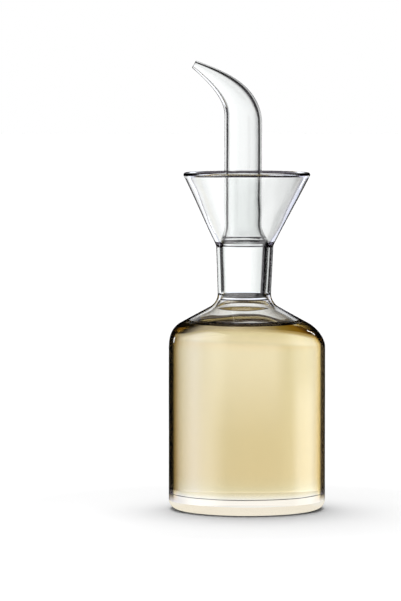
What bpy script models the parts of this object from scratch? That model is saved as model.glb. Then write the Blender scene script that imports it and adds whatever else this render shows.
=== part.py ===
"""Glass oil dispenser bottle: a flask with a funnel collar, its bent-spout stopper and the oil inside.

Metres, +Z up. The origin is the centre of the base, where the bottle stands, and the spout points to -X.
Run with: blender --background --python part.py
"""

import math

import bpy
import bmesh
from mathutils import Vector

OBJECT_NAME = "oil_dispenser_bottle"

# Body of the flask: a straight cylinder of 80 mm with a thick foot
BODY_RADIUS = 0.0400
BODY_WALL = 0.0025
FLOOR_HEIGHT = 0.0075
BASE_EDGE_ROUND = 0.0048
FLOOR_EDGE_ROUND = 0.0060

# Shoulder: a cone between the cylinder and the neck, rounded into both
SHOULDER_CORNER_HEIGHT = 0.0912
SHOULDER_SLOPE = math.radians(28.7)
SHOULDER_ROUND = 0.0145

# Neck, which is the socket of the stopper and tapers downwards with it
NECK_FOOT_RADIUS = 0.0134
NECK_TOP_RADIUS = 0.0146
NECK_TOP_HEIGHT = 0.1346
NECK_WALL = 0.0015
NECK_FOOT_ROUND = 0.0080
NECK_TOP_ROUND = 0.0008

# Funnel collar, fused to the top of the neck
FUNNEL_FOOT_RADIUS = 0.0152
FUNNEL_FOOT_HEIGHT = 0.1361
FUNNEL_FLARE = math.radians(26.0)
FUNNEL_WALL = 0.0020
FUNNEL_RIM_HEIGHT = 0.1709
FUNNEL_FOOT_ROUND = 0.0010
FUNNEL_FLOOR_DROP = 0.0005
FUNNEL_FLOOR_ROUND = 0.0015
RIM_BEAD_RADIUS = 0.00125

# Oil, which stands in the lower part of the shoulder
OIL_LEVEL = 0.0943

# Stopper: a hollow tapered plug, a short flare and the pouring tube
PLUG_BOTTOM_HEIGHT = 0.1082
PLUG_TOP_HEIGHT = 0.1372
PLUG_WALL = 0.0012
PLUG_LIP_ROUND = 0.0007
FLARE_HEIGHT = 0.0095
FLARE_POWER = 2.2
TUBE_RADIUS = 0.00955
TUBE_WALL = 0.00155
TUBE_OFFSET = -0.0020
BEND_START_HEIGHT = 0.1975
TIP = Vector((-0.0265, 0.0, 0.2269))
TIP_RISE = math.radians(29.8)
TIP_RADIUS = 0.0022
TIP_WALL = 0.0009

# Shape of the bend: how far its two handles reach, and how late the tube narrows
BEND_START_HANDLE = 0.0105
BEND_TIP_HANDLE = 0.0212
NARROWING_POWER = 1.65

# Drip groove down the back of the plug, pressed inwards, so its wall bulges into the bore
GROOVE_RADIUS = 0.0022
GROOVE_WALL = 0.0012
GROOVE_TOP_HEIGHT = 0.1392

# Clearance between pieces that touch
CLEARANCE = 0.0003

# The flask is blown by hand: how far its axis wanders in X at each height
AXIS_WANDER = (
    (0.083, 0.0),
    (0.097, -0.0016),
    (0.107, -0.00135),
    (0.135, -0.00115),
    (0.171, -0.00010),
)

# Fineness of the meshes
TURNED_STEPS = 40
ARC_STEP = math.radians(15.0)
RIM_ARC_POINTS = 9
TUBE_BEVEL_RESOLUTION = 13
GROOVE_BEVEL_RESOLUTION = 5
BEND_POINTS = 13
FLARE_POINTS = 8
CUTTER_OVERSHOOT = 0.0010
MERGE_DISTANCE = 0.00001
SHARP_ANGLE = math.radians(40.0)


def clear_scene():
    for scene_object in list(bpy.data.objects):
        bpy.data.objects.remove(scene_object, do_unlink=True)


def new_collection(name):
    collection = bpy.data.collections.new(name)
    bpy.context.scene.collection.children.link(collection)
    return collection


def new_material(name, colour, roughness, ior):
    """A clear Principled material, which also shows its colour in the plain viewport."""
    material = bpy.data.materials.new(name)
    material.use_nodes = True
    material.diffuse_color = colour
    shader = material.node_tree.nodes["Principled BSDF"]
    shader.inputs["Base Color"].default_value = colour
    shader.inputs["Roughness"].default_value = roughness
    shader.inputs["Metallic"].default_value = 0.0
    shader.inputs["Transmission Weight"].default_value = 1.0
    shader.inputs["IOR"].default_value = ior
    return material


def smooth_step(t):
    t = min(max(t, 0.0), 1.0)
    return t * t * (3.0 - 2.0 * t)


def axis_shift(height):
    """Sideways place of the hand-blown axis at a height."""
    shift = AXIS_WANDER[0][1]
    for (low, low_shift), (high, high_shift) in zip(AXIS_WANDER, AXIS_WANDER[1:]):
        if height > low:
            part = smooth_step((height - low) / (high - low))
            shift = low_shift + (high_shift - low_shift) * part
    return shift


def rounded_outline(corners):
    """Points of a profile through (radius, height, rounding) corners, with an arc at each rounded one."""
    points = []
    for index, (radius, height, rounding) in enumerate(corners):
        corner = Vector((radius, height))
        if rounding == 0.0:
            points.append(corner)
            continue
        towards_last = (Vector(corners[index - 1][:2]) - corner).normalized()
        towards_next = (Vector(corners[index + 1][:2]) - corner).normalized()
        opening = towards_last.angle(towards_next)
        turn = math.pi - opening
        arc_centre = corner + (towards_last + towards_next).normalized() * rounding / math.sin(opening / 2)
        start = corner + towards_last * rounding * math.tan(turn / 2) - arc_centre
        side = math.copysign(1.0, towards_next.cross(towards_last))
        steps = max(2, math.ceil(turn / ARC_STEP))
        for step in range(steps + 1):
            angle = side * turn * step / steps
            swung = Vector(
                (
                    start.x * math.cos(angle) - start.y * math.sin(angle),
                    start.x * math.sin(angle) + start.y * math.cos(angle),
                )
            )
            points.append(arc_centre + swung)
    return points


def evaluated_mesh(source):
    """The mesh of an object with its modifiers applied. The object itself is removed."""
    bpy.context.view_layer.update()
    graph = bpy.context.evaluated_depsgraph_get()
    mesh = bpy.data.meshes.new_from_object(source.evaluated_get(graph))
    bpy.data.objects.remove(source, do_unlink=True)
    return mesh


def turned_solid(name, outline, collection, material):
    """A profile turned about the Z axis, then set along the wandering axis of the flask."""
    profile = bpy.data.meshes.new(name + "_profile")
    points = [(point.x, 0.0, point.y) for point in outline]
    edges = [(index, index + 1) for index in range(len(points) - 1)]
    profile.from_pydata(points, edges, [])
    lathe = bpy.data.objects.new(name + "_profile", profile)
    collection.objects.link(lathe)
    screw = lathe.modifiers.new("Turn", "SCREW")
    screw.axis = "Z"
    screw.steps = TURNED_STEPS
    screw.render_steps = TURNED_STEPS
    screw.use_merge_vertices = True
    screw.merge_threshold = MERGE_DISTANCE
    mesh = evaluated_mesh(lathe)
    for vertex in mesh.vertices:
        vertex.co.x += axis_shift(vertex.co.z)
    mesh.shade_smooth()
    mesh.set_sharp_from_angle(angle=SHARP_ANGLE)
    solid = bpy.data.objects.new(name, mesh)
    collection.objects.link(solid)
    mesh.materials.clear()
    mesh.materials.append(material)
    return solid


def tube_solid(name, stations, bevel_resolution, collection):
    """A round bar through (centre, radius) stations, made a mesh with its end caps welded on."""
    curve = bpy.data.curves.new(name + "_path", "CURVE")
    curve.dimensions = "3D"
    curve.twist_mode = "MINIMUM"
    curve.bevel_depth = 1.0
    curve.bevel_resolution = bevel_resolution
    curve.use_fill_caps = True
    spline = curve.splines.new("POLY")
    spline.points.add(len(stations) - 1)
    for point, (centre, radius) in zip(spline.points, stations):
        point.co = (centre.x, centre.y, centre.z, 1.0)
        point.radius = radius
    bar = bpy.data.objects.new(name + "_path", curve)
    collection.objects.link(bar)
    place = bar.matrix_world.copy()
    mesh = evaluated_mesh(bar)
    shell = bmesh.new()
    shell.from_mesh(mesh)
    bmesh.ops.remove_doubles(shell, verts=shell.verts, dist=MERGE_DISTANCE)
    shell.to_mesh(mesh)
    shell.free()
    solid = bpy.data.objects.new(name, mesh)
    solid.matrix_world = place
    collection.objects.link(solid)
    return solid


def hide_cutter(cutter):
    cutter.hide_render = True
    cutter.display_type = "WIRE"


def cut(target, cutter):
    boolean = target.modifiers.new("Cut " + cutter.name, "BOOLEAN")
    boolean.operation = "DIFFERENCE"
    boolean.solver = "EXACT"
    boolean.object = cutter


def shoulder_height(radius, depth=0.0):
    """Height of the shoulder's cone at a radius, or of the surface that lies a depth under it."""
    rise = (BODY_RADIUS - radius) * math.tan(SHOULDER_SLOPE)
    return SHOULDER_CORNER_HEIGHT + rise - depth / math.cos(SHOULDER_SLOPE)


def funnel_radius(height, depth=0.0):
    """Outer radius of the funnel at a height, or the radius a depth inside its wall."""
    spread = (height - FUNNEL_FOOT_HEIGHT) * math.tan(FUNNEL_FLARE)
    return FUNNEL_FOOT_RADIUS + spread - depth / math.cos(FUNNEL_FLARE)


def neck_radius(height):
    """Outer radius of the tapered neck at a height."""
    foot_height = shoulder_height(NECK_FOOT_RADIUS)
    part = (height - foot_height) / (NECK_TOP_HEIGHT - foot_height)
    return NECK_FOOT_RADIUS + (NECK_TOP_RADIUS - NECK_FOOT_RADIUS) * part


def rim_bead():
    """The rounded rim, from the funnel's inside over the top to its outside."""
    middle = funnel_radius(FUNNEL_RIM_HEIGHT, FUNNEL_WALL / 2)
    start = math.pi - FUNNEL_FLARE
    points = []
    for step in range(RIM_ARC_POINTS):
        angle = start - math.pi * step / (RIM_ARC_POINTS - 1)
        radius = middle + RIM_BEAD_RADIUS * math.cos(angle)
        height = FUNNEL_RIM_HEIGHT + RIM_BEAD_RADIUS * math.sin(angle)
        points.append(Vector((radius, height)))
    return points


def make_bottle(collection):
    """Flask, neck and funnel collar: one piece of glass, open at the top."""
    inner_radius = BODY_RADIUS - BODY_WALL
    socket_foot = NECK_FOOT_RADIUS - NECK_WALL
    socket_top = NECK_TOP_RADIUS - NECK_WALL
    funnel_floor = FUNNEL_FOOT_HEIGHT - FUNNEL_FLOOR_DROP
    bead = rim_bead()
    inside = rounded_outline(
        [
            (0.0, FLOOR_HEIGHT, 0.0),
            (inner_radius, FLOOR_HEIGHT, FLOOR_EDGE_ROUND),
            (inner_radius, shoulder_height(inner_radius, BODY_WALL), SHOULDER_ROUND - BODY_WALL),
            (socket_foot, shoulder_height(socket_foot, BODY_WALL), NECK_FOOT_ROUND + NECK_WALL),
            (socket_top, funnel_floor, FUNNEL_FLOOR_ROUND),
            (bead[0].x, bead[0].y, 0.0),
        ]
    )
    outside = rounded_outline(
        [
            (bead[-1].x, bead[-1].y, 0.0),
            (FUNNEL_FOOT_RADIUS, FUNNEL_FOOT_HEIGHT, FUNNEL_FOOT_ROUND),
            (NECK_TOP_RADIUS, NECK_TOP_HEIGHT, NECK_TOP_ROUND),
            (NECK_FOOT_RADIUS, shoulder_height(NECK_FOOT_RADIUS), NECK_FOOT_ROUND),
            (BODY_RADIUS, SHOULDER_CORNER_HEIGHT, SHOULDER_ROUND),
            (BODY_RADIUS, 0.0, BASE_EDGE_ROUND),
            (0.0, 0.0, 0.0),
        ]
    )
    glass = new_material("bottle_glass", (0.92, 0.96, 0.95, 1.0), 0.02, 1.47)
    outline = inside[:-1] + bead + outside[1:]
    return turned_solid("bottle", outline, collection, glass)


def make_oil(collection):
    """The oil, a solid up to its level, set just inside the glass."""
    gap = BODY_WALL + CLEARANCE
    radius = BODY_RADIUS - gap
    floor = FLOOR_HEIGHT + CLEARANCE
    depth_under_corner = shoulder_height(radius, gap)
    surface_radius = radius - (OIL_LEVEL - depth_under_corner) / math.tan(SHOULDER_SLOPE)
    outline = rounded_outline(
        [
            (0.0, OIL_LEVEL, 0.0),
            (surface_radius, OIL_LEVEL, 0.0),
            (radius, depth_under_corner, SHOULDER_ROUND - gap),
            (radius, floor, FLOOR_EDGE_ROUND - CLEARANCE),
            (0.0, floor, 0.0),
        ]
    )
    oil = new_material("olive_oil", (0.87, 0.76, 0.42, 1.0), 0.02, 1.47)
    return turned_solid("oil", outline, collection, oil)


def plug_radius(height):
    """Outer radius of the plug: the socket's own taper, less the clearance."""
    return neck_radius(height) - NECK_WALL - CLEARANCE


def axis_point(height):
    return Vector((axis_shift(height), 0.0, height))


def bend_point(t):
    """A point of the bend's centre line, from the straight tube (t = 0) to the tip (t = 1)."""
    along_tip = Vector((-math.cos(TIP_RISE), 0.0, math.sin(TIP_RISE)))
    start = Vector((TUBE_OFFSET, 0.0, BEND_START_HEIGHT))
    first = start + Vector((0.0, 0.0, BEND_START_HANDLE))
    second = TIP - along_tip * BEND_TIP_HANDLE
    back = 1.0 - t
    return start * back**3 + first * 3.0 * back**2 * t + second * 3.0 * back * t**2 + TIP * t**3


def flare_stations(wall, plug_wall):
    """The tube's foot, which spreads from the tube's radius to the plug's, most of it at the bottom."""
    top_radius = TUBE_RADIUS - wall
    foot_radius = plug_radius(PLUG_TOP_HEIGHT) - plug_wall
    foot = axis_point(PLUG_TOP_HEIGHT)
    stations = []
    for step in range(FLARE_POINTS):
        part = step / (FLARE_POINTS - 1)
        swell = (1.0 - part) ** FLARE_POWER
        centre_x = TUBE_OFFSET + (foot.x - TUBE_OFFSET) * swell
        height = PLUG_TOP_HEIGHT + FLARE_HEIGHT * part
        stations.append((Vector((centre_x, 0.0, height)), top_radius + (foot_radius - top_radius) * swell))
    return stations


def bend_stations(wall, tip_wall):
    """The bend, along which the tube and its wall narrow to the tip."""
    stations = []
    for step in range(BEND_POINTS):
        t = step / (BEND_POINTS - 1)
        outer = TUBE_RADIUS + (TIP_RADIUS - TUBE_RADIUS) * t**NARROWING_POWER
        stations.append((bend_point(t), outer - wall - (tip_wall - wall) * t))
    return stations


def make_stopper(collection, cutters):
    """Hollow plug, flare and bent tapering tube: one piece of glass, open at both ends."""
    lip = axis_point(PLUG_BOTTOM_HEIGHT)
    above_lip = PLUG_BOTTOM_HEIGHT + PLUG_LIP_ROUND
    outer = [(lip, plug_radius(PLUG_BOTTOM_HEIGHT) - PLUG_LIP_ROUND)]
    outer.append((axis_point(above_lip), plug_radius(above_lip)))
    outer += flare_stations(0.0, 0.0) + bend_stations(0.0, 0.0)
    stopper = tube_solid("spout_stopper", outer, TUBE_BEVEL_RESOLUTION, collection)

    bore_start = PLUG_BOTTOM_HEIGHT - CUTTER_OVERSHOOT
    bore = [(axis_point(bore_start), plug_radius(bore_start) - PLUG_WALL)]
    bore += flare_stations(TUBE_WALL, PLUG_WALL) + bend_stations(TUBE_WALL, TIP_WALL)
    tip_centre, tip_bore = bore[-1]
    along = (tip_centre - bore[-2][0]).normalized()
    bore.append((tip_centre + along * CUTTER_OVERSHOOT, tip_bore))
    bore_cutter = tube_solid("bore_cutter", bore, TUBE_BEVEL_RESOLUTION, cutters)

    groove_line = []
    for height in (bore_start, GROOVE_TOP_HEIGHT):
        side = Vector((plug_radius(height), 0.0, 0.0))
        groove_line.append(axis_point(height) + side)
    groove = [(centre, GROOVE_RADIUS) for centre in groove_line]
    groove_cutter = tube_solid("groove_cutter", groove, GROOVE_BEVEL_RESOLUTION, cutters)
    wall_line = [(centre, GROOVE_RADIUS + GROOVE_WALL) for centre in groove_line]
    wall_cutter = tube_solid("groove_wall_cutter", wall_line, GROOVE_BEVEL_RESOLUTION, cutters)

    cut(bore_cutter, wall_cutter)
    cut(stopper, bore_cutter)
    cut(stopper, groove_cutter)
    for cutter in (bore_cutter, groove_cutter, wall_cutter):
        hide_cutter(cutter)
    glass = new_material("stopper_glass", (0.93, 0.96, 0.96, 1.0), 0.02, 1.47)
    stopper.data.materials.append(glass)
    stopper.data.shade_smooth()
    stopper.data.set_sharp_from_angle(angle=SHARP_ANGLE)
    return stopper


def main():
    clear_scene()
    parts = new_collection(OBJECT_NAME)
    cutters = new_collection("cutters")
    make_bottle(parts)
    make_oil(parts)
    make_stopper(parts, cutters)


main()
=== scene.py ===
import math

import bmesh
import bpy
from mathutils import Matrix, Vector, noise


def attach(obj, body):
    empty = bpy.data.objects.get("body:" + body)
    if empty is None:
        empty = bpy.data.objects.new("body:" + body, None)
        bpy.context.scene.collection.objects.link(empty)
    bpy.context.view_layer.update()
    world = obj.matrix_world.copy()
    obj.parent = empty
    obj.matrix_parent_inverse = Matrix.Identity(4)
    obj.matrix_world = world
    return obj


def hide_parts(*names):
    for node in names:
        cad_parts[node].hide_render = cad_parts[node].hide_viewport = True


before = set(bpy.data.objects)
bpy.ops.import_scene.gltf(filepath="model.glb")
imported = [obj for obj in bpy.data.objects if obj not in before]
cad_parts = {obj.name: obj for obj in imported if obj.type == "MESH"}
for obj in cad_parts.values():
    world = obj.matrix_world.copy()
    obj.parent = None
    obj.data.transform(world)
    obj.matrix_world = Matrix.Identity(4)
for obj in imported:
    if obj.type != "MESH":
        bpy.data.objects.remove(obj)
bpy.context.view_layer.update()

# Clear glass oil dispenser: flask with a funnel collar, hollow stopper with a bent spout, and the oil.
# Metres, +Z up, the spout points to -X and the shown side faces -Y.


# Shader writing

class Wire:
    # an output socket that can be used in plain sums, each of which adds a Math node
    def __init__(self, finish, socket):
        self.finish = finish
        self.socket = socket

    def maths(self, operation, first, second):
        return self.finish.add("ShaderNodeMath", {"operation": operation}, {0: first, 1: second})

    def __add__(self, other):
        return self.maths("ADD", self, other)

    def __radd__(self, other):
        return self.maths("ADD", other, self)

    def __sub__(self, other):
        return self.maths("SUBTRACT", self, other)

    def __rsub__(self, other):
        return self.maths("SUBTRACT", other, self)

    def __mul__(self, other):
        return self.maths("MULTIPLY", self, other)

    def __rmul__(self, other):
        return self.maths("MULTIPLY", other, self)

    def __truediv__(self, other):
        return self.maths("DIVIDE", self, other)

    def __pow__(self, other):
        return self.maths("POWER", self, other)


class Finish:
    # a material or world whose nodes are written one call at a time
    def __init__(self, owner):
        owner.use_nodes = True
        self.owner = owner
        self.tree = owner.node_tree
        self.tree.nodes.clear()

    def add(self, kind, settings=None, inputs=None, output=0):
        node = self.tree.nodes.new(kind)
        for name, value in (settings or {}).items():
            if name == "stops":
                self.setStops(node.color_ramp, value)
            else:
                setattr(node, name, value)
        for name, value in (inputs or {}).items():
            if isinstance(value, Wire):
                self.tree.links.new(value.socket, node.inputs[name])
            else:
                node.inputs[name].default_value = value
        return Wire(self, node.outputs[output]) if node.outputs else node

    def setStops(self, ramp, stops):
        while len(ramp.elements) > 1:
            ramp.elements.remove(ramp.elements[-1])
        ramp.elements[0].position = stops[0][0]
        ramp.elements[0].color = stops[0][1]
        for position, colour in stops[1:]:
            ramp.elements.new(position).color = colour

    def place(self):
        # the point of the surface, in metres of the shared frame
        node = self.tree.nodes.new("ShaderNodeTexCoord")
        return Wire(self, node.outputs["Object"])

    def ripple(self, size, detail=2.0):
        # soft noise from 0 to 1 whose lumps are about this many metres apart
        inputs = {"Vector": self.place(), "Scale": 1.0 / size, "Detail": detail, "Roughness": 0.5}
        return self.add("ShaderNodeTexNoise", {"noise_dimensions": "3D"}, inputs)

    def axes(self):
        # the three parts of the place, each as a wire
        node = self.tree.nodes.new("ShaderNodeSeparateXYZ")
        self.tree.links.new(self.place().socket, node.inputs[0])
        return [Wire(self, socket) for socket in node.outputs]

    def slant(self):
        # 0 where the surface is seen straight on, 1 where it is seen edge-on
        return self.add("ShaderNodeLayerWeight", {}, {"Blend": 0.5}, output=1)

    def rise(self, value, low, high):
        # 0 below low, 1 above high and smooth between
        settings = {"interpolation_type": "SMOOTHSTEP"}
        return self.add("ShaderNodeMapRange", settings, {0: value, 1: low, 2: high, 3: 0.0, 4: 1.0})

    def band(self, value, low, high, edge):
        # 1 between low and high, and 0 past their soft edges
        return self.rise(value, low - edge, low) * (1 - self.rise(value, high, high + edge))

    def blend(self, share, first, second):
        # colour between two, by a share from 0 to 1
        settings = {"data_type": "RGBA", "blend_type": "MIX"}
        return self.add("ShaderNodeMix", settings, {0: share, 6: first, 7: second}, output=2)

    def seeThrough(self, colour, ior, **more):
        inputs = {"Base Color": colour, "Roughness": 0.0, "IOR": ior, "Transmission Weight": 1.0, **more}
        return self.add("ShaderNodeBsdfPrincipled", {}, inputs)

    def glow(self, colour, strength=1.0):
        return self.add("ShaderNodeEmission", {}, {"Color": colour, "Strength": strength})

    def close(self, shader, **more):
        # the finished material
        self.add("ShaderNodeOutputMaterial", {}, {"Surface": shader, **more})
        return self.owner


def grey(value):
    return (value, value, value, 1.0)


# Shapes that several pieces share

meshing = {
    "weld": 0.000004,
    "sharpFrom": math.radians(50.0),
    "insideFrom": 0.9,      # marks on the vertices: 1 inside, 0 outside and 0.5 on a rim or lip
    "rim": 0.5,
    "outsideTo": 0.1,
}


def smoothStep(t):
    t = min(max(t, 0.0), 1.0)
    return t * t * (3.0 - 2.0 * t)


def roundedOutline(corners, arcStep):
    # points through (radius, height, rounding) corners, with an arc at each rounded one
    points = []
    for index, (radius, height, rounding) in enumerate(corners):
        corner = Vector((radius, height))
        if rounding == 0.0:
            points.append(corner)
            continue
        towardsLast = (Vector(corners[index - 1][:2]) - corner).normalized()
        towardsNext = (Vector(corners[index + 1][:2]) - corner).normalized()
        opening = towardsLast.angle(towardsNext)
        turn = math.pi - opening
        middle = corner + (towardsLast + towardsNext).normalized() * rounding / math.sin(opening / 2)
        start = corner + towardsLast * rounding * math.tan(turn / 2) - middle
        side = math.copysign(1.0, towardsNext.cross(towardsLast))
        steps = max(3, math.ceil(turn / arcStep))
        for step in range(steps + 1):
            angle = side * turn * step / steps
            sine, cosine = math.sin(angle), math.cos(angle)
            swung = Vector((start.x * cosine - start.y * sine, start.x * sine + start.y * cosine))
            points.append(middle + swung)
    return points


def turnOutline(runs, steps, longestRun, closed=False):
    # an outline, given as (points, mark) runs, turned about Z; the mark is kept on each vertex
    bm = bmesh.new()
    mark = bm.verts.layers.float.new("inside")
    line = []
    for points, value in runs:
        for point in points:
            vertex = bm.verts.new((point.x, 0.0, point.y))
            vertex[mark] = value
            line.append(vertex)
    for first, second in zip(line, line[1:]):
        bm.edges.new((first, second))
    if closed:
        bm.edges.new((line[-1], line[0]))
    for edge in list(bm.edges):
        cuts = int(edge.calc_length() / longestRun)
        if cuts > 0:
            bmesh.ops.subdivide_edges(bm, edges=[edge], cuts=cuts)
    outline = bm.verts[:] + bm.edges[:]
    bmesh.ops.spin(
        bm, geom=outline, axis=(0, 0, 1), cent=(0, 0, 0), angle=math.tau, steps=steps, use_merge=True
    )
    bmesh.ops.remove_doubles(bm, verts=bm.verts, dist=meshing["weld"])
    bmesh.ops.recalc_face_normals(bm, faces=bm.faces)
    return bm, mark


def isInside(face, mark):
    return all(vertex[mark] > meshing["insideFrom"] for vertex in face.verts)


def isOutside(face, mark):
    return all(vertex[mark] < meshing["outsideTo"] for vertex in face.verts)


def waveOf(place, length):
    return noise.noise(place / length)


def makeObject(name, bm, materials):
    # the finished mesh as an object at the origin
    mesh = bpy.data.meshes.new(name)
    bm.to_mesh(mesh)
    bm.free()
    for material in materials:
        mesh.materials.append(material)
    thing = bpy.data.objects.new(name, mesh)
    bpy.context.scene.collection.objects.link(thing)
    return thing


def makePiece(name, bm, materials, node):
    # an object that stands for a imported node
    if bm.calc_volume(signed=True) < 0.0:
        bmesh.ops.reverse_faces(bm, faces=bm.faces)
    piece = makeObject(name, bm, materials)
    piece.data.shade_smooth()
    piece.data.set_sharp_from_angle(angle=meshing["sharpFrom"])
    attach(piece, "root")
    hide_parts(node)
    print(f"{name}: {len(piece.data.polygons)} faces")


# The flask: body, shoulder, neck and funnel collar in one piece of glass

flask = {
    "bodyRadius": 0.0400,
    "bodyWall": 0.0025,
    "floorHeight": 0.0075,
    "baseEdgeRound": 0.0048,
    "floorEdgeRound": 0.0060,
    "shoulderCornerHeight": 0.0912,
    "shoulderSlope": math.radians(28.7),
    "shoulderRound": 0.0145,
    "neckFootRadius": 0.0134,
    "neckTopRadius": 0.0146,
    "neckTopHeight": 0.1346,
    "neckWall": 0.0015,
    "neckFootRound": 0.0080,
    "neckTopRound": 0.0008,
    "funnelFootRadius": 0.0152,
    "funnelFootHeight": 0.1361,
    "funnelFlare": math.radians(26.0),
    "funnelWall": 0.0020,
    "funnelRimHeight": 0.1709,
    "funnelFootRound": 0.0010,
    "funnelFloorDrop": 0.0005,
    "funnelFloorRound": 0.0015,
    "rimBeadRadius": 0.00125,
    "rimPoints": 24,
    # below footTop the outside of the foot gets the foot's painted warm shade
    "footTop": 0.0049,              # below this the foot lets light straight through to the floor
    "levelFoot": 0.001,             # up to here the foot stays level, and over the next height the waves set in
    "waveStart": 0.004,
    "joint": (0.1102, 0.1352),      # between these heights the plug and the neck touch all round
    "axisWander": ((0.083, 0.0), (0.097, -0.0016), (0.107, -0.00135), (0.135, -0.00115), (0.171, -0.00010)),
    "steps": 192,
    "arcStep": math.radians(3.0),
    "longestRun": 0.0016,
    "outerWave": (0.00004, 0.024),      # height of the hand-blown waves and their length
    "innerWave": (0.00012, 0.011),
}


def axisShift(height):
    # how far the hand-blown axis stands to the side at a height
    stations = flask["axisWander"]
    shift = stations[0][1]
    for (low, lowShift), (high, highShift) in zip(stations, stations[1:]):
        if height > low:
            shift = lowShift + (highShift - lowShift) * smoothStep((height - low) / (high - low))
    return shift


def shoulderHeight(radius, depth=0.0):
    slope = flask["shoulderSlope"]
    rise = (flask["bodyRadius"] - radius) * math.tan(slope)
    return flask["shoulderCornerHeight"] + rise - depth / math.cos(slope)


def funnelRadius(height, depth=0.0):
    flare = flask["funnelFlare"]
    spread = (height - flask["funnelFootHeight"]) * math.tan(flare)
    return flask["funnelFootRadius"] + spread - depth / math.cos(flare)


def neckRadius(height):
    foot = shoulderHeight(flask["neckFootRadius"])
    part = (height - foot) / (flask["neckTopHeight"] - foot)
    return flask["neckFootRadius"] + (flask["neckTopRadius"] - flask["neckFootRadius"]) * part


def rimBead():
    middle = funnelRadius(flask["funnelRimHeight"], flask["funnelWall"] / 2)
    points = []
    for step in range(flask["rimPoints"] + 1):
        angle = math.pi - flask["funnelFlare"] - math.pi * step / flask["rimPoints"]
        swung = Vector((math.cos(angle), math.sin(angle))) * flask["rimBeadRadius"]
        points.append(Vector((middle, flask["funnelRimHeight"])) + swung)
    return points


def flaskRuns():
    # the glass outline from the middle of the floor, up the inside, over the rim and down the outside
    wall = flask["bodyWall"]
    innerRadius = flask["bodyRadius"] - wall
    socketFoot = flask["neckFootRadius"] - flask["neckWall"]
    socketTop = flask["neckTopRadius"] - flask["neckWall"]
    funnelFloor = flask["funnelFootHeight"] - flask["funnelFloorDrop"]
    bead = rimBead()
    inside = [
        (0.0, flask["floorHeight"], 0.0),
        (innerRadius, flask["floorHeight"], flask["floorEdgeRound"]),
        (innerRadius, shoulderHeight(innerRadius, wall), flask["shoulderRound"] - wall),
        (socketFoot, shoulderHeight(socketFoot, wall), flask["neckFootRound"] + flask["neckWall"]),
        (socketTop, funnelFloor, flask["funnelFloorRound"]),
        (bead[0].x, bead[0].y, 0.0),
    ]
    outside = [
        (bead[-1].x, bead[-1].y, 0.0),
        (flask["funnelFootRadius"], flask["funnelFootHeight"], flask["funnelFootRound"]),
        (flask["neckTopRadius"], flask["neckTopHeight"], flask["neckTopRound"]),
        (flask["neckFootRadius"], shoulderHeight(flask["neckFootRadius"]), flask["neckFootRound"]),
        (flask["bodyRadius"], flask["shoulderCornerHeight"], flask["shoulderRound"]),
        (flask["bodyRadius"], 0.0, flask["baseEdgeRound"]),
        (0.0, 0.0, 0.0),
    ]
    insidePoints = roundedOutline(inside, flask["arcStep"])[:-1]
    outsidePoints = roundedOutline(outside, flask["arcStep"])[1:]
    return [(insidePoints, 1.0), (bead, meshing["rim"]), (outsidePoints, 0.0)]


def isJoint(height):
    low, high = flask["joint"]
    return low < height < high


def makeFlask(outside, inside, wet, foot, joint):
    bm, mark = turnOutline(flaskRuns(), flask["steps"], flask["longestRun"])
    bm.normal_update()
    moves = []
    for vertex in bm.verts:
        swell = smoothStep((vertex.co.z - flask["levelFoot"]) / flask["waveStart"])
        depth, length = flask["outerWave"] if vertex[mark] < meshing["rim"] else flask["innerWave"]
        moves.append(vertex.normal * depth * waveOf(vertex.co, length) * swell)
    materials = [outside, inside, wet, foot, joint]
    oilEdge = oilFill["level"] + oilFill["meniscusRise"]
    for face in bm.faces:
        height = face.calc_center_median().z
        if isInside(face, mark):
            glass = joint if isJoint(height) else wet if height < oilEdge else inside
            face.material_index = materials.index(glass)
        elif isOutside(face, mark) and height < flask["footTop"]:
            face.material_index = materials.index(foot)
    for vertex, move in zip(bm.verts, moves):
        vertex.co += move
        vertex.co.x += axisShift(vertex.co.z)
    makePiece("bottleGlass", bm, materials, "bottle")


# The oil, which reaches just into the wall and stands a little up it at the edge

oilFill = {
    "level": 0.0943,
    "intoWall": 0.0003,
    "meniscusRise": 0.0009,
    "meniscusReach": 0.0022,
    "meniscusPower": 2.5,
    "meniscusPoints": 10,
    "steps": 192,
    "longestRun": 0.0025,
}


def makeOil(material):
    gap = flask["bodyWall"] - oilFill["intoWall"]
    radius = flask["bodyRadius"] - gap
    floor = flask["floorHeight"] - oilFill["intoWall"]
    corner = shoulderHeight(radius, gap)
    top = oilFill["level"] + oilFill["meniscusRise"]
    edgeRadius = radius - (top - corner) / math.tan(flask["shoulderSlope"])
    points = [Vector((0.0, oilFill["level"]))]
    for step in range(oilFill["meniscusPoints"] + 1):
        part = step / oilFill["meniscusPoints"]
        rise = oilFill["meniscusRise"] * part ** oilFill["meniscusPower"]
        points.append(Vector((edgeRadius - oilFill["meniscusReach"] * (1.0 - part), oilFill["level"] + rise)))
    sides = [
        (edgeRadius, top, 0.0),
        (radius, corner, flask["shoulderRound"] - gap),
        (radius, floor, flask["floorEdgeRound"] + oilFill["intoWall"]),
        (0.0, floor, 0.0),
    ]
    points += roundedOutline(sides, flask["arcStep"])[1:]
    bm = turnOutline([(points, 0.0)], oilFill["steps"], oilFill["longestRun"])[0]
    for vertex in bm.verts:
        vertex.co.x += axisShift(vertex.co.z)
    makePiece("oilBody", bm, [material], "oil")


# The stopper: hollow plug, flare and bent tapering tube, turned straight and then laid along its path

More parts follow.
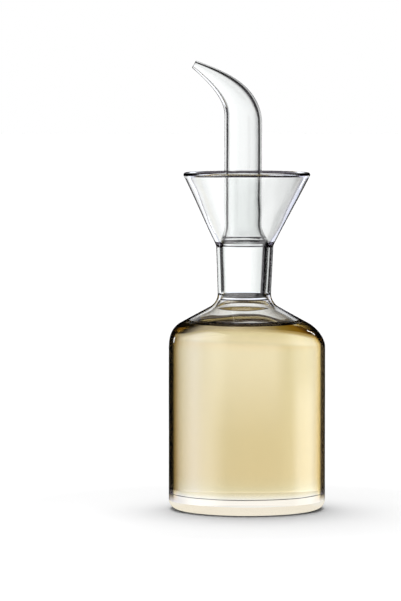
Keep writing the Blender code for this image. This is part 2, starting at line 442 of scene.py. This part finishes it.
stopper = {
    "plugBottom": 0.1082,
    "plugTop": 0.1372,
    "plugWall": 0.0012,
    "plugGap": 0.00015,
    "flareHeight": 0.0095,
    "flarePower": 2.2,
    "tubeRadius": 0.00955,
    "tubeWall": 0.00155,
    "tubeOffset": -0.0020,
    "bendStart": 0.1975,
    "tip": Vector((-0.0265, 0.0, 0.2269)),
    "tipRise": math.radians(29.8),
    "tipRadius": 0.0022,
    "tipWall": 0.0009,
    "bendStartHandle": 0.0105,
    "bendTipHandle": 0.0212,
    "narrowingPower": 1.65,
    "bendLength": 0.040,
    "bendGlance": 0.002,            # how far to each side along the bend its direction is taken
    "grooveDepth": 0.0026,
    "grooveHalfWidth": 0.0048,
    "grooveTop": 0.1392,
    "grooveFade": 0.0030,
    "groovePower": 1.5,
    "steps": 128,
    "station": 0.0008,
    "lipPoints": 8,
    "wave": (0.00005, 0.013),
}


def bendPoint(t):
    alongTip = Vector((-math.cos(stopper["tipRise"]), 0.0, math.sin(stopper["tipRise"])))
    start = Vector((stopper["tubeOffset"], 0.0, stopper["bendStart"]))
    first = start + Vector((0.0, 0.0, stopper["bendStartHandle"]))
    second = stopper["tip"] - alongTip * stopper["bendTipHandle"]
    back = 1.0 - t
    return start * back**3 + first * 3.0 * back**2 * t + second * 3.0 * back * t**2 + stopper["tip"] * t**3


def bendShare(along):
    return max(0.0, (along - stopper["bendStart"]) / stopper["bendLength"])


def flareSwell(along):
    part = (along - stopper["plugTop"]) / stopper["flareHeight"]
    return (1.0 - min(max(part, 0.0), 1.0)) ** stopper["flarePower"]


def stopperWall(along):
    swell = flareSwell(along)
    wall = stopper["tubeWall"] + (stopper["plugWall"] - stopper["tubeWall"]) * swell
    return wall + (stopper["tipWall"] - stopper["tubeWall"]) * bendShare(along)


def stopperRadius(along):
    plugHeight = min(along, stopper["plugTop"])
    plugRadius = neckRadius(plugHeight) - flask["neckWall"] - stopper["plugGap"]
    swell = flareSwell(along)
    tube = stopper["tubeRadius"]
    narrowing = (stopper["tipRadius"] - tube) * bendShare(along) ** stopper["narrowingPower"]
    return tube + (plugRadius - tube) * swell + narrowing


def stopperPath(along):
    # centre of the tube and its sideways direction at a length along it
    t = bendShare(along)
    if t > 0.0:
        ahead = (bendPoint(t + stopper["bendGlance"]) - bendPoint(t - stopper["bendGlance"])).normalized()
        return bendPoint(t), Vector((ahead.z, 0.0, -ahead.x))
    swell = flareSwell(along)
    foot = axisShift(min(along, stopper["plugTop"]))
    shift = stopper["tubeOffset"] + (foot - stopper["tubeOffset"]) * swell
    return Vector((shift, 0.0, along)), Vector((1.0, 0.0, 0.0))


def lip(along, upwards):
    # the fire-polished round between the two faces of the wall, from the outside to the inside
    wall = stopperWall(along) / 2
    middle = Vector((stopperRadius(along) - wall, along))
    points = []
    for step in range(1, stopper["lipPoints"]):
        angle = math.pi * step / stopper["lipPoints"]
        points.append(middle + Vector((math.cos(angle), math.sin(angle) * upwards)) * wall)
    return points


def grooveDepth(place):
    # how far the drip groove on the right-hand side is pressed in
    if place.x <= 0.0:
        return 0.0
    across = max(0.0, 1.0 - (place.y / stopper["grooveHalfWidth"]) ** 2)
    fade = smoothStep((stopper["grooveTop"] - place.z) / stopper["grooveFade"])
    return stopper["grooveDepth"] * across ** stopper["groovePower"] * fade


def makeStopper(outside, inside, joint):
    low = stopper["plugBottom"] + stopperWall(stopper["plugBottom"]) / 2
    high = stopper["bendStart"] + stopper["bendLength"]
    count = round((high - low) / stopper["station"])
    stations = [low + (high - low) * step / count for step in range(count + 1)]
    outer = [Vector((stopperRadius(along), along)) for along in stations]
    inner = [Vector((stopperRadius(along) - stopperWall(along), along)) for along in reversed(stations)]
    rim = meshing["rim"]
    bottomLip = list(reversed(lip(low, -1.0)))
    runs = [(outer, 0.0), (lip(high, 1.0), rim), (inner, 1.0), (bottomLip, rim)]
    bm, mark = turnOutline(runs, stopper["steps"], stopper["station"] * 2, closed=True)
    materials = [outside, inside, joint]
    for face in bm.faces:
        if isInside(face, mark):
            face.material_index = materials.index(inside)
        elif isOutside(face, mark) and isJoint(face.calc_center_median().z):
            face.material_index = materials.index(joint)
    bm.normal_update()
    depth, length = stopper["wave"]
    moves = [vertex.normal * depth * waveOf(vertex.co, length) for vertex in bm.verts]
    for vertex, move in zip(bm.verts, moves):
        along = vertex.co.z
        calm = max(0.0, 1.0 - bendShare(along))     # the waves die away towards the tip
        flat = Vector((vertex.co.x - grooveDepth(vertex.co), vertex.co.y)) + move.xy * calm
        centre, side = stopperPath(along)
        vertex.co = centre + side * flat.x + Vector((0.0, flat.y, 0.0))
    makePiece("spoutStopper", bm, materials, "spout_stopper")


# Finishes

clearWhite = (1.0, 1.0, 1.0, 1.0)

glassLook = {
    "tint": (0.975, 0.985, 0.982, 1.0),
    # painted warm shade: the brown the glass is painted just inside its outline low on the flask, in place of oil
    # colour bent at the edge
    "paintedWarmShade": (0.95, 0.74, 0.36, 1.0),
    # painted shade: the near-black that the glass's outlines, rings and lines are painted with, in place of the
    # dark surroundings that real glass bends and mirrors
    "paintedShade": (0.010, 0.008, 0.010, 1.0),
    "ior": 1.474,
    "wetIor": 1.006,        # against oil, or against the glass of the other piece
    "wetDeeper": (0.99, 0.99, 0.98, 1.0),
    "footIor": 1.004,
    # painted warm shade for the foot, in place of oil-coloured light seen through it
    "footPaintedShade": (0.755, 0.705, 0.570, 1.0),
    "footPaintedShadeDeeper": (0.715, 0.660, 0.530, 1.0),
    "waveSize": 0.016,
    "waveDepth": 0.00004,
    # ringEdge and frontFade shape the painted dark rings and lines
    "ringEdge": 0.0003,     # how soft the edges of rings and lines are
    "frontFade": 0.01,      # how far forward of the middle the floor's line is full
}

# Painted shade: how each surface is painted darker towards its outline, and the dark rings and lines painted on
# it, in place of the dark surroundings that real glass bends and mirrors. The numbers are, in this order:
# slant: how far it slants away where the painted shade starts and where it is dark
# rings: heights from and to of a painted dark ring, how much sooner the painted shade starts between them, and how
# soft the ring's edge is if not sharp
# line: a painted dark ring that is drawn only where the surface is seen straight on, with the slants between which
# it fades
# calm: heights between which the painted warm shade ends and the painted dark shade starts later, and how much
# later
# warm: slants between which the glass is painted warm, a painted warm shade in place of oil colour bent at its
# edge
# foot: heights between which the painted warm shade and dark shade set in
# groove: sideways, depth and height limits of the drip groove, each from and to, and how much sooner the painted
# shade starts there
# floor: radii from and to of the painted dark line round the inner floor, and its top
edges = {
    "flaskOutside": {
        "slant": (0.600, 0.690),
        "calm": (0.089, 0.096, 0.14),
        "warm": (0.48, 0.64),
        "foot": (0.0040, 0.0085),
        "rings": ((0.1342, 0.1368, 0.42), (0.1696, 0.1735, -0.30)),
        "line": (0.1708, 0.1712, 1.15, 0.50, 0.75),
    },
    "flaskInside": {
        "slant": (0.62, 0.86),
        "rings": ((0.0949, 0.0956, 1.0), (0.0956, 0.0966, 0.24), (0.1069, 0.1075, 1.0), (0.1342, 0.1368, 0.40)),
    },
    "stopperOutside": {
        "slant": (0.78, 0.95),
        "rings": ((0.1085, 0.1099, 1.0), (0.1396, 0.1400, 0.86), (0.208, 0.240, 0.14, 0.008)),
    },
    "stopperInside": {
        "slant": (0.52, 0.80),
        "rings": ((0.1085, 0.1099, 1.0), (0.1362, 0.1380, 0.70), (0.2075, 0.240, 0.22, 0.010)),
        "groove": (0.0062, 0.0068, 0.0046, 0.0052, 0.1365, 0.1385, 0.60),
    },
    "wetInside": {"slant": (0.945, 0.975), "rings": ((0.0941, 0.0956, 1.0),), "floor": (0.0290, 0.0340, 0.0084)},
}

oilLook = {
    "ior": 1.467,
    "absorbColour": (0.666, 0.515, 0.03, 1.0),
    "absorbDensity": 17.2,
    # painted shade: the oil's level top is painted darker where it is seen almost edge-on, in place of the dark
    # surroundings it mirrors and bends there
    "dimFrom": (0.85, 0.92),        # the level surface darkens where it is seen almost edge-on
    "paintedEdgeOnShade": (0.06, 0.05, 0.05, 1.0),
    "sideIor": 1.0,                 # the wall does the bending where oil touches it
    "topMargin": 0.0001,
}


def shadeOf(finish, slant, edge):
    # how much painted shade the glass gets: 0 where it is seen straight on, 1 at its outline and in its painted
    # dark rings and lines
    across, depth, height = finish.axes()
    sooner = 0.0
    sharp = glassLook["ringEdge"]
    for foot, top, gain, *soft in edge["rings"]:
        sooner = finish.band(height, foot, top, soft[0] if soft else sharp) * gain + sooner
    if "line" in edge:
        foot, top, gain, fadeFrom, fadeTo = edge["line"]
        line = finish.band(height, foot, top, sharp) * (1 - finish.rise(slant, fadeFrom, fadeTo))
        sooner = line * gain + sooner
    if "groove" in edge:
        # painted dark groove: the drip groove is painted dark where its sides slant away
        acrossFrom, acrossTo, halfFrom, halfTo, topFrom, topTo, gain = edge["groove"]
        inGroove = finish.rise(across, acrossFrom, acrossTo)
        inGroove = inGroove * (1 - finish.rise(depth * depth, halfFrom**2, halfTo**2))
        inGroove = inGroove * (1 - finish.rise(height, topFrom, topTo))
        sooner = inGroove * gain + sooner
    shade = finish.rise(slant + sooner, *edge["slant"])
    # painted dark line round the front half of the inner floor's edge
    if "floor" in edge:
        floorFrom, floorTo, floorTop = edge["floor"]
        radius = (across * across + depth * depth) ** 0.5
        line = finish.band(radius, floorFrom, floorTo, sharp)
        front = finish.rise(0 - depth, 0.0, glassLook["frontFade"])
        front = front * (1 - finish.rise(height, floorTop, floorTop + sharp))
        shade = shade.maths("MAXIMUM", shade, line * front)
    return shade


def wetGlass():
    # the inside of the wall where oil touches it: light hardly bends there. It is painted dark in a ring at the
    # oil's edge, in a line round the front of the inner floor and towards its outline, as painted shade in place
    # of dark bent light
    finish = Finish(bpy.data.materials.new("wetGlass"))
    film = finish.ripple(glassLook["waveSize"])
    colour = finish.blend(film, clearWhite, glassLook["wetDeeper"])
    shade = shadeOf(finish, finish.slant(), edges["wetInside"])
    colour = finish.blend(shade, colour, glassLook["paintedShade"])
    return finish.close(finish.seeThrough(colour, glassLook["wetIor"]))


def jointGlass():
    # where the plug sits against the neck: light passes from one to the other almost unbent
    finish = Finish(bpy.data.materials.new("jointGlass"))
    film = finish.ripple(glassLook["waveSize"])
    colour = finish.blend(film, clearWhite, glassLook["tint"])
    return finish.close(finish.seeThrough(colour, glassLook["wetIor"]))


def footGlass():
    # the underside and the rounded foot: light passes it almost unbent, and it is painted cream and darker, a
    # painted warm shade in place of the oil-coloured light seen through it
    finish = Finish(bpy.data.materials.new("footGlass"))
    film = finish.ripple(glassLook["waveSize"])
    colour = finish.blend(film, glassLook["footPaintedShade"], glassLook["footPaintedShadeDeeper"])
    return finish.close(finish.seeThrough(colour, glassLook["footIor"]))


def clearGlass(name, edge):
    # clear glass, painted warm and then dark towards its outline and in rings and lines: painted shade in place of
    # the dark surroundings real glass bends and mirrors
    finish = Finish(bpy.data.materials.new(name))
    height = finish.axes()[2]
    slant = finish.slant()
    colour = glassLook["tint"]
    if "calm" in edge:
        calmFrom, calmTo, delay = edge["calm"]
        upper = finish.rise(height, calmFrom, calmTo)
        foot = finish.rise(height, *edge["foot"])
        # painted warm shade and then painted dark shade towards the outline, fading out at the foot and above the
        # oil
        warm = finish.rise(slant, *edge["warm"]) * (1 - upper) * foot
        colour = finish.blend(warm, colour, glassLook["paintedWarmShade"])
        shade = shadeOf(finish, slant - upper * delay, edge) * foot
    else:
        shade = shadeOf(finish, slant, edge)
    # painted dark shade towards the outline and in the painted dark rings and lines
    colour = finish.blend(shade, colour, glassLook["paintedShade"])
    wave = finish.ripple(glassLook["waveSize"], detail=0.0)
    settings = {"Strength": 1.0, "Distance": glassLook["waveDepth"], "Height": wave}
    bump = finish.add("ShaderNodeBump", {}, settings)
    return finish.close(finish.seeThrough(colour, glassLook["ior"], Normal=bump))


def goldenOil():
    # the sides let light in from the wet wall as it comes, and the level top bends it
    finish = Finish(bpy.data.materials.new("goldenOil"))
    # painted shade on the level top where it is seen almost edge-on
    dim = finish.rise(finish.slant(), *oilLook["dimFrom"])
    surface = finish.seeThrough(finish.blend(dim, clearWhite, oilLook["paintedEdgeOnShade"]), oilLook["ior"])
    sides = finish.seeThrough(clearWhite, oilLook["sideIor"])
    height = finish.axes()[2]
    top = height.maths("GREATER_THAN", height, oilFill["level"] - oilLook["topMargin"])
    shader = finish.add("ShaderNodeMixShader", {}, {0: top, 1: sides, 2: surface})
    depth = {"Color": oilLook["absorbColour"], "Density": oilLook["absorbDensity"]}
    return finish.close(shader, Volume=finish.add("ShaderNodeVolumeAbsorption", {}, depth))


floorLook = {
    "white": 0.90,
    "cloudDepth": 0.01,     # how far the white varies either way
    "cloudSize": 0.4,
    "cloudDetail": 3.0,
    "roughness": 0.7,
}


def paleFloor():
    finish = Finish(bpy.data.materials.new("paleFloor"))
    cloud = finish.ripple(floorLook["cloudSize"], floorLook["cloudDetail"])
    paler, darker = floorLook["white"] + floorLook["cloudDepth"], floorLook["white"] - floorLook["cloudDepth"]
    colour = finish.blend(cloud, grey(darker), grey(paler))
    inputs = {"Base Color": colour, "Roughness": floorLook["roughness"]}
    return finish.close(finish.add("ShaderNodeBsdfPrincipled", {}, inputs))


def backdropWhite():
    finish = Finish(bpy.data.materials.new("backdropWhite"))
    return finish.close(finish.glow(clearWhite))


# What the glass shows by bending light: a large round screen of light.
# Four rows of stops light it, from the top down: high, low, mild and under. Stops are brightness or colour
# by the angle from the back in degrees: plus is the right-hand side, minus the left.
backScreen = {
    "radius": 0.60,
    "foot": -0.60,
    "top": 0.60,
    "brightest": 1.60,
    "darkFrom": (0.330, 0.500),         # heights between which it darkens towards the top
    "darkLight": 0.02,
    "highFrom": (0.040, 0.054),         # heights between which the high row takes over from the low one
    "mildFrom": (-0.275, -0.215),       # heights below which each of the two lower rows takes over
    "underFrom": (-0.335, -0.290),
    "reachRight": (12.0, 45.0, 0.12),   # past these angles they reach this much higher
    "reachLeft": (15.0, 45.0, 0.02),
    "footLight": 0.90,
    "footEdge": (0.005, 0.015),         # heights over the foot between which the walls take over from the bottom
    "low": (
        (-180, 1.10),
        (-75, 1.10),
        (-63, (1.28, 1.16, 0.75)),
        (-51.5, (1.26, 1.26, 1.27)),
        (-47.5, (1.44, 1.46, 1.49)),
        (-44, (1.38, 1.38, 1.43)),
        (-35, (1.42, 1.46, 1.55)),
        (-31, (1.43, 1.46, 1.54)),
        (-25, (1.36, 1.40, 1.51)),
        (-20, (1.24, 1.26, 1.27)),
        (-14, (1.18, 1.19, 1.20)),
        (0, (1.19, 1.21, 1.26)),
        (12, (1.15, 1.18, 1.24)),
        (20, (1.10, 1.13, 1.24)),
        (26, (1.08, 1.12, 1.36)),
        (32, (1.05, 1.07, 1.24)),
        (38, (1.02, 1.04, 1.13)),
        (43.4, (0.86, 0.84, 0.87)),
        (46.6, (0.70, 0.66, 0.64)),
        (50.4, (0.44, 0.40, 0.36)),
        (55.4, (0.19, 0.16, 0.12)),
        (61, 0.03),
        (76, 0.03),
        (90, 1.00),
        (180, 1.10),
    ),
    "high": (
        (-180, 1.00),
        (-150, 1.00),
        (-144, 0.02),
        (-126, 0.02),
        (-120, 1.00),
        (-82, 1.00),
        (-75, 0.02),
        (-37, 0.02),
        (-32, 1.10),
        (-13, 1.11),
        (0, 1.04),
        (5, 0.95),
        (10, 0.85),
        (13, 0.77),
        (25, 0.60),
        (32, 0.50),
        (37, 0.02),
        (75, 0.02),
        (82, 0.50),
        (100, 0.60),
        (140, 1.00),
        (180, 1.00),
    ),
    "mild": (
        (-180, 1.00),
        (-75, 1.00),
        (-60, (0.70, 0.60, 0.40)),
        (-45, (0.70, 0.58, 0.34)),
        (-20, (0.72, 0.60, 0.36)),
        (-8, (0.90, 0.86, 0.80)),
        (5, (1.00, 0.98, 1.00)),
        (30, (0.80, 0.78, 0.80)),
        (60, 0.40),
        (80, 1.00),
        (180, 1.00),
    ),
    "under": (
        (-180, 0.02),
        (-115, 0.02),
        (-107, 1.00),
        (-78, 1.00),
        (-70, 0.02),
        (-58, (0.04, 0.02, 0.01)),
        (-53, (0.10, 0.04, 0.005)),
        (-46, (0.18, 0.09, 0.01)),
        (-36, (0.36, 0.21, 0.02)),
        (-31, (0.34, 0.21, 0.03)),
        (-20, (0.40, 0.30, 0.09)),
        (-10, (0.60, 0.55, 0.47)),
        (5, (0.90, 0.88, 0.97)),
        (20, (0.76, 0.74, 0.82)),
        (28, (0.66, 0.65, 0.72)),
        (37, (0.30, 0.29, 0.34)),
        (45, (0.08, 0.08, 0.10)),
        (51, 0.015),
        (72, 0.010),
        (80, 1.00),
        (115, 1.00),
        (128, 0.30),
        (180, 0.02),
    ),
    "tints": (                          # over it all, by the height
        (-0.22, (1.00, 1.00, 1.00)),
        (-0.18, (1.05, 1.07, 1.10)),
        (-0.13, (1.08, 1.10, 1.20)),
        (-0.09, (1.12, 1.14, 1.25)),
        (-0.062, (1.00, 1.03, 1.10)),
        (-0.045, (1.00, 0.97, 0.95)),
        (-0.020, (1.00, 0.98, 0.96)),
        (0.010, (1.00, 1.00, 1.01)),
        (0.040, (1.00, 1.02, 1.06)),
        (0.060, (1.00, 1.00, 1.00)),
    ),
    "tintStrength": 1.25,               # no tint is brighter than this
}

# What the glass mirrors: dark surroundings with a few soft lights in them, each given by its angles
# from and to, its heights from and to, how soft its edges are, and its brightness
mirrorScreen = {
    "radius": 0.12,
    "foot": -0.20,
    "top": 0.60,
    "dim": 0.004,
    "lights": {
        "leftFront": {"angle": (-128.0, -112.0), "height": (-0.10, 0.26), "edge": (32.0, 0.05), "light": 3.4},
        "frontLeft": {"angle": (-181.0, -150.0), "height": (0.080, 0.110), "edge": (25.0, 0.055), "light": 3.7},
        "frontRight": {"angle": (150.0, 181.0), "height": (0.080, 0.110), "edge": (25.0, 0.055), "light": 3.7},
        "right": {"angle": (90.0, 106.0), "height": (-0.10, 0.045), "edge": (16.0, 0.025), "light": 1.8},
        "leftSpark": {"angle": (-59.0, -57.0), "height": (0.090, 0.100), "edge": (1.0, 0.004), "light": 6.0},
        "rightSpark": {"angle": (48.0, 49.5), "height": (0.128, 0.152), "edge": (1.5, 0.004), "light": 6.0},
    },
}


def shareOf(level):
    # a brightness or colour as a share of the brightest
    colour = level if isinstance(level, tuple) else (level, level, level)
    return (*[part / backScreen["brightest"] for part in colour], 1.0)


def screenPlace(finish):
    # degrees round from the back, and the height
    across, depth, height = finish.axes()
    return across.maths("ARCTAN2", across, depth) * (180.0 / math.pi), height


def ringColour(finish, degrees, stops):
    colours = [((angle + 180) / 360, shareOf(level)) for angle, level in stops]
    return finish.add("ShaderNodeValToRGB", {"stops": colours}, {0: degrees / 360.0 + 0.5})


def screenPaint():
    # light of the back screen by the angle from the back and by the height
    finish = Finish(bpy.data.materials.new("backScreen"))
    degrees, height = screenPlace(finish)
    rows = [ringColour(finish, degrees, backScreen[row]) for row in ("low", "high", "mild", "under")]
    low, high, mild, under = rows
    colour = finish.blend(finish.rise(height, *backScreen["highFrom"]), low, high)
    dark = finish.rise(height, *backScreen["darkFrom"])
    colour = finish.blend(dark, colour, shareOf(backScreen["darkLight"]))
    rightFrom, rightTo, rightReach = backScreen["reachRight"]
    leftFrom, leftTo, leftReach = backScreen["reachLeft"]
    level = height - finish.rise(degrees, rightFrom, rightTo) * rightReach
    level = level - finish.rise(0 - degrees, leftFrom, leftTo) * leftReach
    edgeFrom, edgeTo = [backScreen["foot"] + edge for edge in backScreen["footEdge"]]
    under = finish.blend(finish.rise(height, edgeFrom, edgeTo), shareOf(backScreen["footLight"]), under)
    colour = finish.blend(finish.rise(level, *backScreen["mildFrom"]), mild, colour)
    colour = finish.blend(finish.rise(level, *backScreen["underFrom"]), under, colour)
    full = backScreen["tintStrength"]
    reach = backScreen["top"] - backScreen["foot"]
    stops = [
        ((at - backScreen["foot"]) / reach, (*[part / full for part in tint], 1.0))
        for at, tint in backScreen["tints"]
    ]
    tint = finish.add("ShaderNodeValToRGB", {"stops": stops}, {0: (height - backScreen["foot"]) / reach})
    settings = {"data_type": "RGBA", "blend_type": "MULTIPLY"}
    colour = finish.add("ShaderNodeMix", settings, {0: 1.0, 6: colour, 7: tint}, output=2)
    return finish.close(finish.glow(colour, backScreen["brightest"] * full))


def screenLamps():
    # the mirrored screen: dim, with its soft lights
    finish = Finish(bpy.data.materials.new("mirrorScreen"))
    degrees, height = screenPlace(finish)
    light = mirrorScreen["dim"]
    for lamp in mirrorScreen["lights"].values():
        turnEdge, heightEdge = lamp["edge"]
        mask = finish.band(degrees, *lamp["angle"], turnEdge) * finish.band(height, *lamp["height"], heightEdge)
        light = mask * lamp["light"] + light
    return finish.close(finish.glow(light))


# Stage

stage = {
    "floorSize": 24.0,
    "floorDrop": 0.0002,    # just under the foot, so that the two faces don't fight
    "skyStrength": 0.50,
    "topLight": 2.40,       # a broad soft light overhead, tipped a little towards the back
    "topSpread": 44.0,      # degrees
    "topTip": 13.0,
    "topTurn": -1.5,
    "backdropRadius": 9.0,
    "backdropHeight": 9.0,
    "steps": 180,           # round the screens and the backdrop
    "longestRun": 0.1,
}


def stageObject(name, bm, material):
    thing = makeObject(name, bm, [material])
    return thing


def makeFloor():
    bm = bmesh.new()
    bmesh.ops.create_grid(bm, x_segments=1, y_segments=1, size=stage["floorSize"] / 2)
    bmesh.ops.translate(bm, verts=bm.verts, vec=(0.0, 0.0, -stage["floorDrop"]))
    floor = stageObject("floor", bm, paleFloor())
    floor.visible_transmission = False
    floor.visible_glossy = False


def makeBackdrop():
    # the white all round that the camera sees, and nothing else does
    radius, height = stage["backdropRadius"], stage["backdropHeight"]
    side = [Vector((radius, -height)), Vector((radius, height)), Vector((0.0, height))]
    bm = turnOutline([(side, 0.0)], stage["steps"], height)[0]
    backdrop = stageObject("backdrop", bm, backdropWhite())
    backdrop.visible_diffuse = False
    backdrop.visible_glossy = False
    backdrop.visible_transmission = False
    backdrop.visible_shadow = False


def makeScreen(name, screen, material):
    # a closed can round the flask that the camera, the floor and the shadows don't see
    radius, foot, top = screen["radius"], screen["foot"], screen["top"]
    side = [Vector((0.0, foot)), Vector((radius, foot)), Vector((radius, top)), Vector((0.0, top))]
    bm = turnOutline([(side, 0.0)], stage["steps"], stage["longestRun"])[0]
    can = stageObject(name, bm, material)
    can.visible_camera = False
    can.visible_diffuse = False
    can.visible_shadow = False
    return can


def makeTopLight():
    data = bpy.data.lights.new("topLight", "SUN")
    data.energy = stage["topLight"]
    data.angle = math.radians(stage["topSpread"])
    lamp = bpy.data.objects.new("topLight", data)
    lamp.rotation_euler = (math.radians(-stage["topTip"]), math.radians(stage["topTurn"]), 0.0)
    lamp.visible_glossy = False
    lamp.visible_transmission = False
    bpy.context.scene.collection.objects.link(lamp)


def makeSky():
    world = bpy.data.worlds.new("softRoom")
    finish = Finish(world)
    sky = finish.add("ShaderNodeBackground", {}, {"Color": clearWhite, "Strength": stage["skyStrength"]})
    finish.add("ShaderNodeOutputWorld", {}, {"Surface": sky})
    bpy.context.scene.world = world


camera = {
    "place": (0.0, -2.07, 0.236),
    "lens": 243.0,
    "sensor": 36.0,
    "pitchDown": 3.576,     # degrees
    "turnLeft": 0.658,      # so that the flask stands right of the middle
    "nearest": 0.05,
    "furthest": 60.0,
}


def makeCamera():
    data = bpy.data.cameras.new("camera")
    data.lens = camera["lens"]
    data.sensor_width = camera["sensor"]
    data.clip_start = camera["nearest"]
    data.clip_end = camera["furthest"]
    viewer = bpy.data.objects.new("camera", data)
    viewer.location = camera["place"]
    tilt = math.radians(90.0 - camera["pitchDown"])
    viewer.rotation_euler = (tilt, 0.0, math.radians(camera["turnLeft"]))
    bpy.context.scene.collection.objects.link(viewer)
    bpy.context.scene.camera = viewer


look = {
    "bounces": 40,
    "transmissionBounces": 32,
    "glossyBounces": 16,
}


def setLook():
    scene = bpy.context.scene
    scene.view_settings.view_transform = "Standard"
    scene.view_settings.look = "None"
    scene.cycles.max_bounces = look["bounces"]
    scene.cycles.transmission_bounces = look["transmissionBounces"]
    scene.cycles.glossy_bounces = look["glossyBounces"]
    scene.cycles.caustics_reflective = False
    scene.cycles.caustics_refractive = False


makeSky()
makeCamera()
makeFloor()
makeScreen("backScreen", backScreen, screenPaint()).visible_glossy = False
makeScreen("mirrorScreen", mirrorScreen, screenLamps()).visible_transmission = False
makeBackdrop()
makeTopLight()
setLook()
print("stage: floor, sky, screens of light and camera")

touching = jointGlass()
flaskOutside = clearGlass("flaskGlass", edges["flaskOutside"])
flaskInside = clearGlass("flaskInside", edges["flaskInside"])
makeFlask(flaskOutside, flaskInside, wetGlass(), footGlass(), touching)
stopperOutside = clearGlass("stopperGlass", edges["stopperOutside"])
stopperInside = clearGlass("stopperInside", edges["stopperInside"])
makeStopper(stopperOutside, stopperInside, touching)
makeOil(goldenOil())
